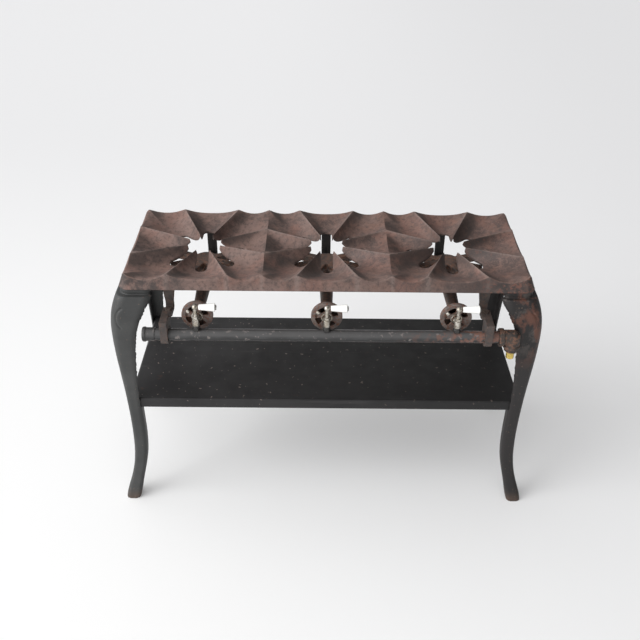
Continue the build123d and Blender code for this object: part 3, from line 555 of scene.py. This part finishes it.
class Finish:
    """A procedural material: one Principled shader, fed by noise in the frame's own coordinates."""

    def __init__(self, name, **fixed):
        self.material = bpy.data.materials.new(name)
        self.material.use_nodes = True
        self.tree = self.material.node_tree
        self.shader = self.tree.nodes["Principled BSDF"]
        for socket, value in fixed.items():
            self.shader.inputs[socket.replace("_", " ")].default_value = value
        self.place = self.tree.nodes.new("ShaderNodeTexCoord").outputs["Object"]

    def link(self, source, socket):
        """Feeds a socket from another node, or sets it to a constant."""
        if isinstance(source, bpy.types.NodeSocket):
            self.tree.links.new(source, socket)
        else:
            socket.default_value = source

    def noise(self, scale, detail=3.0, roughness=0.55, stretch=(1, 1, 1), seed=0.0):
        """Cloudy noise of a scale per metre; another seed gives another part of the same noise."""
        mapping = self.tree.nodes.new("ShaderNodeMapping")
        mapping.inputs["Scale"].default_value = stretch
        mapping.inputs["Location"].default_value = (seed, 0.7 * seed, 1.3 * seed)
        self.tree.links.new(self.place, mapping.inputs["Vector"])
        made = self.tree.nodes.new("ShaderNodeTexNoise")
        self.tree.links.new(mapping.outputs["Vector"], made.inputs["Vector"])
        made.inputs["Scale"].default_value = scale
        made.inputs["Detail"].default_value = detail
        made.inputs["Roughness"].default_value = roughness
        return made.outputs["Fac"]

    def step(self, value, low, high, to_low=0.0, to_high=1.0):
        """A smooth rise from one value to another as the input goes from low to high."""
        made = self.tree.nodes.new("ShaderNodeMapRange")
        made.interpolation_type = "SMOOTHSTEP"
        self.link(value, made.inputs["Value"])
        for socket, number in zip(RANGE_SOCKETS, (low, high, to_low, to_high)):
            made.inputs[socket].default_value = number
        return made.outputs["Result"]

    def math(self, operation, a, b):
        made = self.tree.nodes.new("ShaderNodeMath")
        made.operation = operation
        self.link(a, made.inputs[0])
        self.link(b, made.inputs[1])
        return made.outputs["Value"]

    def times(self, a, b):
        return self.math("MULTIPLY", a, b)

    def distance(self, value, centre):
        return self.math("ABSOLUTE", self.math("SUBTRACT", value, centre), 0.0)

    def mix(self, share, a, b):
        """Colour a, with a share of it covered by colour b."""
        made = self.tree.nodes.new("ShaderNodeMix")
        made.data_type = "RGBA"
        colours = [s for s in made.inputs if s.type == "RGBA"]
        self.link(share, made.inputs["Factor"])
        for source, socket in ((a, colours[0]), (b, colours[1])):
            self.link((*source, 1.0) if isinstance(source, tuple) else source, socket)
        return next(s for s in made.outputs if s.type == "RGBA")

    def painted(self, attribute):
        """A value painted on the mesh."""
        made = self.tree.nodes.new("ShaderNodeAttribute")
        made.attribute_name = attribute
        return made.outputs["Fac"]

    def axis(self, name):
        """One coordinate of the place, in metres."""
        made = self.tree.nodes.new("ShaderNodeSeparateXYZ")
        self.tree.links.new(self.place, made.inputs["Vector"])
        return made.outputs[name]

    def facing(self, name):
        """One axis of the outward direction of the surface."""
        made = self.tree.nodes.new("ShaderNodeSeparateXYZ")
        geometry = self.tree.nodes.new("ShaderNodeNewGeometry")
        self.tree.links.new(geometry.outputs["Normal"], made.inputs["Vector"])
        return made.outputs[name]

    def bump(self, height, distance, strength=1.0, under=None):
        """Small relief from a height, on top of another bump where one is given."""
        made = self.tree.nodes.new("ShaderNodeBump")
        made.inputs["Distance"].default_value = distance
        made.inputs["Strength"].default_value = strength
        self.link(height, made.inputs["Height"])
        if under is not None:
            self.tree.links.new(under, made.inputs["Normal"])
        return made.outputs["Normal"]

    def finish(self, colour, roughness, normal, metallic=None):
        """Feeds the shader and gives the finished material."""
        self.tree.links.new(colour, self.shader.inputs["Base Color"])
        self.link(roughness, self.shader.inputs["Roughness"])
        self.tree.links.new(normal, self.shader.inputs["Normal"])
        if metallic is not None:
            self.link(metallic, self.shader.inputs["Metallic"])
        return self.material


def grate_iron():
    """Burnt dull rust, lighter on the crests, sooty in the valleys; painted light to the left,
    painted shade on slopes facing right.
    """
    f = Finish("grate_iron", Specular_IOR_Level=0.45)
    cloud = f.noise(14, 4, 0.6)
    tint = f.noise(34, 3, 0.6, seed=3.0)
    grain = f.noise(420, 3, 0.65, seed=1.0)
    pits = f.noise(1100, 2, 0.5, seed=2.0)
    base = f.mix(f.step(cloud, 0.35, 0.65), (0.088, 0.054, 0.047), (0.140, 0.088, 0.074))
    rust = f.step(tint, 0.46, 0.70, 0.0, 0.70)
    base = f.mix(rust, base, (0.175, 0.092, 0.068))
    soot = f.step(f.noise(22, 5, 0.65, seed=7.0), 0.56, 0.70, 0.0, 0.8)
    base = f.mix(soot, base, (0.040, 0.034, 0.033))
    grey = f.step(f.painted("depth"), 0.0, 5.0 * MM, 0.4, 0.0)
    base = f.mix(grey, base, (0.142, 0.102, 0.090))
    rubbed = f.step(f.painted("edge"), 0.1, 1.0, 0.0, 0.5)
    base = f.mix(rubbed, base, (0.170, 0.121, 0.105))
    # painted light: the top's left end is lighter, as if lit more by the light from the left
    lighter = f.step(f.axis("X"), *TOP_PAINTED_LIGHT, 0.52, 0.0)
    base = f.mix(lighter, base, (0.270, 0.172, 0.145))
    scorch = f.step(f.noise(13, 5, 0.7, seed=21.0), 0.50, 0.64, 0.0, 0.62)
    scorched_valley = f.times(scorch, f.step(f.painted("depth"), 1.0 * MM, 6.0 * MM))
    base = f.mix(scorched_valley, base, (0.042, 0.030, 0.027))
    red_rust = f.step(f.noise(11, 4, 0.65, seed=25.0), 0.50, 0.64, 0.0, 0.5)
    base = f.mix(red_rust, base, (0.190, 0.088, 0.066))
    crest = f.step(f.painted("depth"), 0.2 * MM, 2.2 * MM, 0.5, 0.0)
    base = f.mix(crest, base, (0.210, 0.160, 0.142))
    mottle = f.noise(150, 4, 0.65, seed=11.0)
    dark_spots = f.step(mottle, 0.48, 0.64, 0.0, 0.6)
    base = f.mix(dark_spots, base, (0.055, 0.038, 0.034))
    light_spots = f.step(mottle, 0.34, 0.46, 0.35, 0.0)
    base = f.mix(light_spots, base, (0.222, 0.132, 0.108))
    base = f.mix(f.step(grain, 0.45, 0.72, 0.0, 0.35), base, (0.230, 0.145, 0.118))
    base = f.mix(f.step(pits, 0.58, 0.72, 0.0, 0.5), base, (0.035, 0.024, 0.022))
    # painted shade with soot: slopes that face right, away from the light on the left, are darkened
    # in patches
    right_slope = f.step(f.facing("X"), 0.06, 0.32)
    soot_and_painted_shade = f.times(right_slope, f.step(f.noise(18, 4, 0.6, seed=15.0), 0.30, 0.56))
    base = f.mix(f.times(soot_and_painted_shade, 0.72), base, (0.030, 0.023, 0.021))
    apron = f.step(f.facing("Z"), 0.40, 0.75, 1.0, 0.0)
    ends = f.step(f.math("ABSOLUTE", f.axis("X"), 0.0), *APRON_BURNT)
    darker = f.times(apron, f.step(f.axis("X"), *APRON_DARKER, 0.0, 0.5))
    base = f.mix(darker, base, (0.045, 0.033, 0.030))
    burnt = f.times(f.times(apron, ends), f.step(f.noise(26, 4, 0.65, seed=17.0), 0.36, 0.54))
    base = f.mix(f.times(burnt, 0.85), base, (0.026, 0.022, 0.021))
    flaked_end = f.times(apron, f.step(f.axis("X"), *APRON_FLAKED))
    flaked = f.times(flaked_end, f.step(mottle, 0.50, 0.60))
    base = f.mix(f.times(flaked, 0.8), base, (0.150, 0.066, 0.048))
    rough = f.step(cloud, 0.3, 0.7, 0.50, 0.66)
    coarse = f.bump(f.noise(60, 5, 0.6, seed=4.0), 1.2 * MM, 0.5)
    fine = f.bump(grain, 0.25 * MM, 0.7, coarse)
    return f.finish(base, rough, fine)


def leg_iron():
    """Dark grey paint; the right legs are blacker, with bare grey and rust on their upper parts."""
    f = Finish("leg_iron", Specular_IOR_Level=0.32)
    cloud = f.noise(11, 4, 0.6, seed=5.0)
    grain = f.noise(500, 3, 0.6, seed=1.0)
    base = f.mix(f.step(cloud, 0.35, 0.65), (0.040, 0.041, 0.041), (0.060, 0.061, 0.060))
    towards_right = f.step(f.axis("X"), *LEGS_RUSTED)
    base = f.mix(towards_right, base, (0.020, 0.018, 0.018))
    worn_patch = f.step(f.noise(34, 5, 0.70, stretch=(1, 1, 0.6), seed=9.0), 0.47, 0.60, 0.0, 0.9)
    high = f.step(f.axis("Z"), *LEG_TOP_RUST)
    rust = f.times(f.times(worn_patch, towards_right), high)
    bare_patch = f.step(f.noise(24, 5, 0.7, seed=19.0), 0.50, 0.62, 0.0, 0.7)
    bare = f.times(bare_patch, towards_right)
    base = f.mix(f.times(bare, high), base, (0.085, 0.073, 0.067))
    base = f.mix(rust, base, (0.112, 0.050, 0.035))
    low = f.step(f.axis("Z"), *FOOT_RUST, 0.7, 0.0)
    foot_rust = f.times(low, f.step(cloud, 0.4, 0.6))
    base = f.mix(foot_rust, base, (0.11, 0.070, 0.050))
    specks = f.step(f.noise(260, 2, 0.5, seed=8.0), 0.66, 0.74, 0.0, 0.5)
    base = f.mix(specks, base, (0.19, 0.13, 0.10))
    rough = f.step(cloud, 0.3, 0.7, 0.42, 0.55)
    coarse = f.bump(f.noise(70, 4, 0.6, seed=4.0), 0.8 * MM, 0.35)
    return f.finish(base, rough, f.bump(grain, 0.12 * MM, 0.6, coarse))


def shelf_sheet():
    """Black, slightly wavy sheet with long scratches, pale specks, a little rust and painted shade to
    the right.
    """
    f = Finish("shelf_sheet", Specular_IOR_Level=0.32)
    cloud = f.noise(9, 4, 0.6, seed=2.0)
    base = f.mix(f.step(cloud, 0.35, 0.65), (0.017, 0.016, 0.017), (0.027, 0.026, 0.027))
    scratch = f.step(f.noise(60, 3, 0.6, stretch=(0.05, 1.3, 1), seed=6.0), 0.62, 0.70, 0.0, 0.28)
    base = f.mix(scratch, base, (0.09, 0.085, 0.085))
    specks = f.step(f.noise(120, 2, 0.5, seed=4.0), 0.68, 0.72, 0.0, 0.85)
    base = f.mix(specks, base, (0.24, 0.19, 0.17))
    rust = f.step(f.noise(38, 5, 0.7, seed=12.0), 0.64, 0.72, 0.0, 0.5)
    base = f.mix(rust, base, (0.075, 0.035, 0.024))
    # painted shade: the sheet darkens towards the right, where the light and its reflection fade
    base = f.mix(f.step(f.axis("X"), *SHELF_PAINTED_SHADE, 0.0, 0.6), base, (0.006, 0.006, 0.006))
    rough = f.step(f.noise(30, 4, 0.6, seed=3.0), 0.3, 0.7, 0.40, 0.55)
    wavy = f.bump(f.noise(6, 2, 0.5, seed=1.0), 3.0 * MM, 0.35)
    return f.finish(base, rough, f.bump(f.noise(700, 2, 0.5), 0.08 * MM, 0.5, wavy))


def pipe_iron():
    """Glossy grey pipe with a painted highlight on top, a painted shade band in front, a rubbed line
    below, rust at the right.
    """
    f = Finish("pipe_iron", Specular_IOR_Level=0.5)
    cloud = f.noise(30, 4, 0.6, seed=2.0)
    base = f.mix(f.step(cloud, 0.35, 0.65), (0.022, 0.022, 0.023), (0.040, 0.040, 0.041))
    rust_area = f.step(f.axis("X"), *PIPE_RUSTED)
    patches = f.step(f.noise(70, 5, 0.7, seed=7.0), 0.48, 0.60, 0.0, 0.95)
    # painted shade: a near-black band along the pipe's front, below its middle
    from_painted_shade = f.distance(f.axis("Z"), PIPE_PAINTED_SHADE_Z)
    base = f.mix(f.step(from_painted_shade, 1.2 * MM, 3.0 * MM, 0.9, 0.0), base, (0.004, 0.004, 0.004))
    # painted highlight: the pipe's upper half is lighter, where the light from above falls on it
    above = f.step(f.axis("Z"), *PIPE_PAINTED_HIGHLIGHT, 0.0, 0.55)
    base = f.mix(above, base, (0.085, 0.082, 0.082))
    base = f.mix(f.times(rust_area, patches), base, (0.165, 0.075, 0.052))
    from_rubbed = f.distance(f.axis("Z"), PIPE_RUBBED_Z)
    rubbed_line = f.step(from_rubbed, 0.5 * MM, 1.5 * MM, 1.0, 0.0)
    streak = f.times(rubbed_line, f.step(f.noise(40, 4, 0.7), 0.40, 0.55))
    base = f.mix(streak, base, (0.34, 0.27, 0.24))
    chips = f.step(f.noise(120, 3, 0.6, seed=4.0), 0.60, 0.68, 0.0, 0.75)
    base = f.mix(chips, base, (0.19, 0.165, 0.155))
    rough = f.step(cloud, 0.3, 0.7, 0.28, 0.42)
    coarse = f.bump(f.noise(120, 4, 0.6, seed=9.0), 0.5 * MM, 0.5)
    return f.finish(base, rough, f.bump(f.noise(600, 2, 0.5), 0.1 * MM, 0.5, coarse))


def rusty_iron(name, dark, light, rust, amount, scale=90, shaded_behind=None):
    """Iron from dark to light, partly rusted, and with painted shade from some way behind the middle.
    """
    f = Finish(name, Specular_IOR_Level=0.45)
    cloud = f.noise(scale, 4, 0.6, seed=2.0)
    base = f.mix(f.step(cloud, 0.35, 0.65), dark, light)
    rusted = f.step(f.noise(scale * 1.7, 4, 0.65, seed=5.0), 0.46, 0.62, 0.0, amount)
    base = f.mix(rusted, base, rust)
    pits = f.step(f.noise(scale * 6, 3, 0.6, seed=1.0), 0.58, 0.72, 0.0, 0.5)
    base = f.mix(pits, base, (0.022, 0.017, 0.015))
    if shaded_behind is not None:
        # painted shade: near black behind a line, where the top shades the burner
        shade_y = CENTRE_Y + shaded_behind
        behind = f.step(f.axis("Y"), shade_y - SHADE_FADE, shade_y, 0.0, 0.9)
        base = f.mix(behind, base, (0.010, 0.009, 0.009))
    rough = f.step(cloud, 0.3, 0.7, 0.48, 0.68)
    coarse = f.bump(f.noise(scale * 2, 4, 0.6, seed=9.0), 0.5 * MM, 0.6)
    return f.finish(base, rough, f.bump(f.noise(900, 2, 0.5), 0.12 * MM, 0.6, coarse))


def old_metal(name, bright, dull, grime, metallic, scale=160, painted_below=None):
    """Metal from bright to dull under grime, and black paint below a height."""
    f = Finish(name, Specular_IOR_Level=0.5)
    cloud = f.noise(scale, 4, 0.6, seed=2.0)
    base = f.mix(f.step(cloud, 0.35, 0.65), bright, dull)
    dirt = f.step(f.noise(scale * 2.2, 4, 0.65, seed=6.0), 0.50, 0.66, 0.0, 0.85)
    base = f.mix(dirt, base, grime)
    shine = f.times(metallic, f.step(dirt, 0.0, 0.85, 1.0, 0.35))
    if painted_below is not None:
        bare = f.step(f.axis("Z"), painted_below - 1.5 * MM, painted_below + 1.0 * MM)
        base = f.mix(bare, (0.022, 0.020, 0.019), base)
        shine = f.times(shine, bare)
    rough = f.step(f.noise(scale * 3, 3, 0.6, seed=4.0), 0.3, 0.7, 0.22, 0.45)
    coarse = f.bump(f.noise(scale * 2, 4, 0.6, seed=9.0), 0.3 * MM, 0.4)
    return f.finish(base, rough, f.bump(f.noise(1500, 2, 0.5), 0.05 * MM, 0.5, coarse), shine)


def porcelain():
    """White glaze, lightly crazed."""
    f = Finish("porcelain", Specular_IOR_Level=0.5, Coat_Weight=0.5, Coat_Roughness=0.08)
    cloud = f.noise(60, 3, 0.5)
    base = f.mix(f.step(cloud, 0.35, 0.7), (0.95, 0.95, 0.93), (0.90, 0.89, 0.86))
    crazing = f.step(f.noise(700, 4, 0.7, seed=3.0), 0.66, 0.72, 0.0, 0.35)
    base = f.mix(crazing, base, (0.50, 0.42, 0.33))
    rough = f.step(cloud, 0.3, 0.7, 0.14, 0.24)
    return f.finish(base, rough, f.bump(f.noise(240, 3, 0.5), 0.06 * MM, 0.5))


MATERIALS = {
    "grate_iron": grate_iron(),
    "leg_iron": leg_iron(),
    "shelf_sheet": shelf_sheet(),
    "pipe_iron": pipe_iron(),
    "fitting_iron": rusty_iron(
        "fitting_iron",
        dark=(0.020, 0.017, 0.015),
        light=(0.055, 0.042, 0.035),
        rust=(0.160, 0.077, 0.048),
        amount=0.85,
    ),
    # the straps' slot: near black as painted shade, since they hang in the shade under the top
    "soot_iron": rusty_iron(
        "soot_iron",
        dark=(0.010, 0.009, 0.009),
        light=(0.020, 0.018, 0.017),
        rust=(0.035, 0.022, 0.017),
        amount=0.3,
    ),
    "hanger_iron": rusty_iron(
        "hanger_iron",
        dark=(0.040, 0.034, 0.032),
        light=(0.075, 0.058, 0.052),
        rust=(0.11, 0.062, 0.045),
        amount=0.5,
    ),
    "burner_iron": rusty_iron(
        "burner_iron",
        dark=(0.045, 0.030, 0.025),
        light=(0.085, 0.055, 0.043),
        rust=(0.15, 0.068, 0.040),
        amount=0.8,
        shaded_behind=BURNER_SHADE_Y,
    ),
    "shutter_iron": rusty_iron(
        "shutter_iron",
        dark=(0.11, 0.088, 0.08),
        light=(0.17, 0.135, 0.12),
        rust=(0.14, 0.06, 0.038),
        amount=0.9,
        scale=130,
    ),
    "cock_brass": old_metal(
        "cock_brass",
        bright=(0.60, 0.57, 0.52),
        dull=(0.36, 0.32, 0.26),
        grime=(0.10, 0.08, 0.06),
        metallic=0.95,
        scale=80,
        painted_below=HEX_TOP_Z,
    ),
    "inlet_brass": old_metal(
        "inlet_brass",
        bright=(0.72, 0.54, 0.14),
        dull=(0.50, 0.36, 0.10),
        grime=(0.10, 0.07, 0.03),
        metallic=0.8,
    ),
    "porcelain": porcelain(),
    "grip_nut_steel": old_metal(
        "grip_nut_steel",
        bright=(0.42, 0.41, 0.39),
        dull=(0.30, 0.29, 0.27),
        grime=(0.08, 0.07, 0.06),
        metallic=0.7,
    ),
    "bolt_steel": old_metal(
        "bolt_steel",
        bright=(0.20, 0.16, 0.14),
        dull=(0.12, 0.09, 0.075),
        grime=(0.035, 0.028, 0.024),
        metallic=0.6,
    ),
}


def dress():
    """Gives every piece and every shown CAD node the material of its slot."""
    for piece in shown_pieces():
        slot = piece.get("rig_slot") or SLOT_OF[piece["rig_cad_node"]]
        piece.data.materials.clear()
        piece.data.materials.append(MATERIALS[slot])
        if "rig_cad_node" not in piece:
            continue
        for polygon in piece.data.polygons:
            polygon.material_index = 0


dress()

# ---- floor, light, camera -----------------------------------------------------------------------

FLOOR_HALF = 14.0
# painted shade on the floor: it darkens to the back and to the right, as the light falls off
FLOOR_PAINTED_SHADE_BACK = (-0.6, 1.9)           # along Y
FLOOR_PAINTED_SHADE_RIGHT = (-0.6, 1.6)          # along X
SKY_FALL_X = (-0.85, 0.7, 1.62, 0.10)     # between these directions, from this factor to that
SKY_FALL_Y = (-0.9, 0.9, 1.40, 0.60)
SUN_ENERGY = 1.45
SUN_ANGLE = math.radians(40)
SUN_TOWARDS = Vector((1.0, 0.35, -0.60))
FILM = 36.0                               # millimetres, as LENS
LENS = 46.05
EYE = Vector((-0.0184, -1.3311 + CENTRE_Y, 1.2005))
YAW = math.radians(0.33)
PITCH = math.radians(33.51)
ROLL = math.radians(0.71)


def floor():
    """A large sheet of white paper that glows a little, with painted shade to the back and to the
    right.
    """
    mesh = bpy.data.meshes.new("floor")
    corners = [
        (-FLOOR_HALF, -FLOOR_HALF, 0),
        (FLOOR_HALF, -FLOOR_HALF, 0),
        (FLOOR_HALF, FLOOR_HALF, 0),
        (-FLOOR_HALF, FLOOR_HALF, 0),
    ]
    mesh.from_pydata(corners, [], [(0, 1, 2, 3)])
    piece = bpy.data.objects.new("floor", mesh)
    bpy.context.scene.collection.objects.link(piece)
    # painted light: the paper glows a little, lifting the shadows on the floor
    painted_glow = {"Emission_Color": (1, 1, 1, 1), "Emission_Strength": 0.13}
    f = Finish("floor_paper", Specular_IOR_Level=0.2, **painted_glow)
    cloud = f.noise(1.3, 3, 0.5)
    near = f.mix(cloud, (0.86, 0.86, 0.86), (0.88, 0.88, 0.88))
    # painted shade: the paper darkens to the back and to the right
    base = f.mix(f.step(f.axis("Y"), *FLOOR_PAINTED_SHADE_BACK), near, (0.70, 0.70, 0.71))
    base = f.mix(f.step(f.axis("X"), *FLOOR_PAINTED_SHADE_RIGHT), base, (0.62, 0.62, 0.63))
    mesh.materials.append(f.finish(base, 0.7, f.bump(f.noise(40, 3, 0.5), 0.2 * MM, 0.2)))


def sky():
    """White light, brighter from the left and the front, as beside a large window."""
    world = bpy.data.worlds.new("studio")
    world.use_nodes = True
    tree = world.node_tree
    background = tree.nodes["Background"]
    background.inputs["Color"].default_value = (1.0, 1.0, 1.0, 1.0)
    parts = tree.nodes.new("ShaderNodeSeparateXYZ")
    direction = tree.nodes.new("ShaderNodeTexCoord").outputs["Generated"]
    tree.links.new(direction, parts.inputs["Vector"])
    strength = tree.nodes.new("ShaderNodeMath")
    strength.operation = "MULTIPLY"
    falls = (("X", SKY_FALL_X), ("Y", SKY_FALL_Y))
    for (axis, numbers), factor in zip(falls, strength.inputs):
        fall = tree.nodes.new("ShaderNodeMapRange")
        tree.links.new(parts.outputs[axis], fall.inputs["Value"])
        for socket, number in zip(RANGE_SOCKETS, numbers):
            fall.inputs[socket].default_value = number
        tree.links.new(fall.outputs["Result"], factor)
    tree.links.new(strength.outputs["Value"], background.inputs["Strength"])
    bpy.context.scene.world = world


def lights():
    """The sky and a soft sun that comes through the window on the left."""
    sky()
    bpy.context.scene.view_settings.view_transform = "Standard"
    sun = bpy.data.lights.new("window", "SUN")
    sun.energy = SUN_ENERGY
    sun.angle = SUN_ANGLE
    window = bpy.data.objects.new("window", sun)
    bpy.context.scene.collection.objects.link(window)
    window.rotation_euler = SUN_TOWARDS.to_track_quat("-Z", "Y").to_euler()


def camera():
    """Looks down at the stove from in front, turned a little and tilted a little."""
    data = bpy.data.cameras.new("camera")
    data.sensor_width = FILM
    data.lens = LENS
    eye = bpy.data.objects.new("camera", data)
    bpy.context.scene.collection.objects.link(eye)
    ahead = math.cos(PITCH)
    forward = Vector((math.sin(YAW) * ahead, math.cos(YAW) * ahead, -math.sin(PITCH)))
    level = Vector((math.cos(YAW), -math.sin(YAW), 0.0))
    upright = level.cross(forward)
    right = level * math.cos(ROLL) + upright * math.sin(ROLL)
    up = upright * math.cos(ROLL) - level * math.sin(ROLL)
    turned = Matrix((right, up, -forward)).transposed()
    eye.matrix_world = Matrix.Translation(EYE) @ turned.to_4x4()
    bpy.context.scene.camera = eye


floor()
lights()
camera()
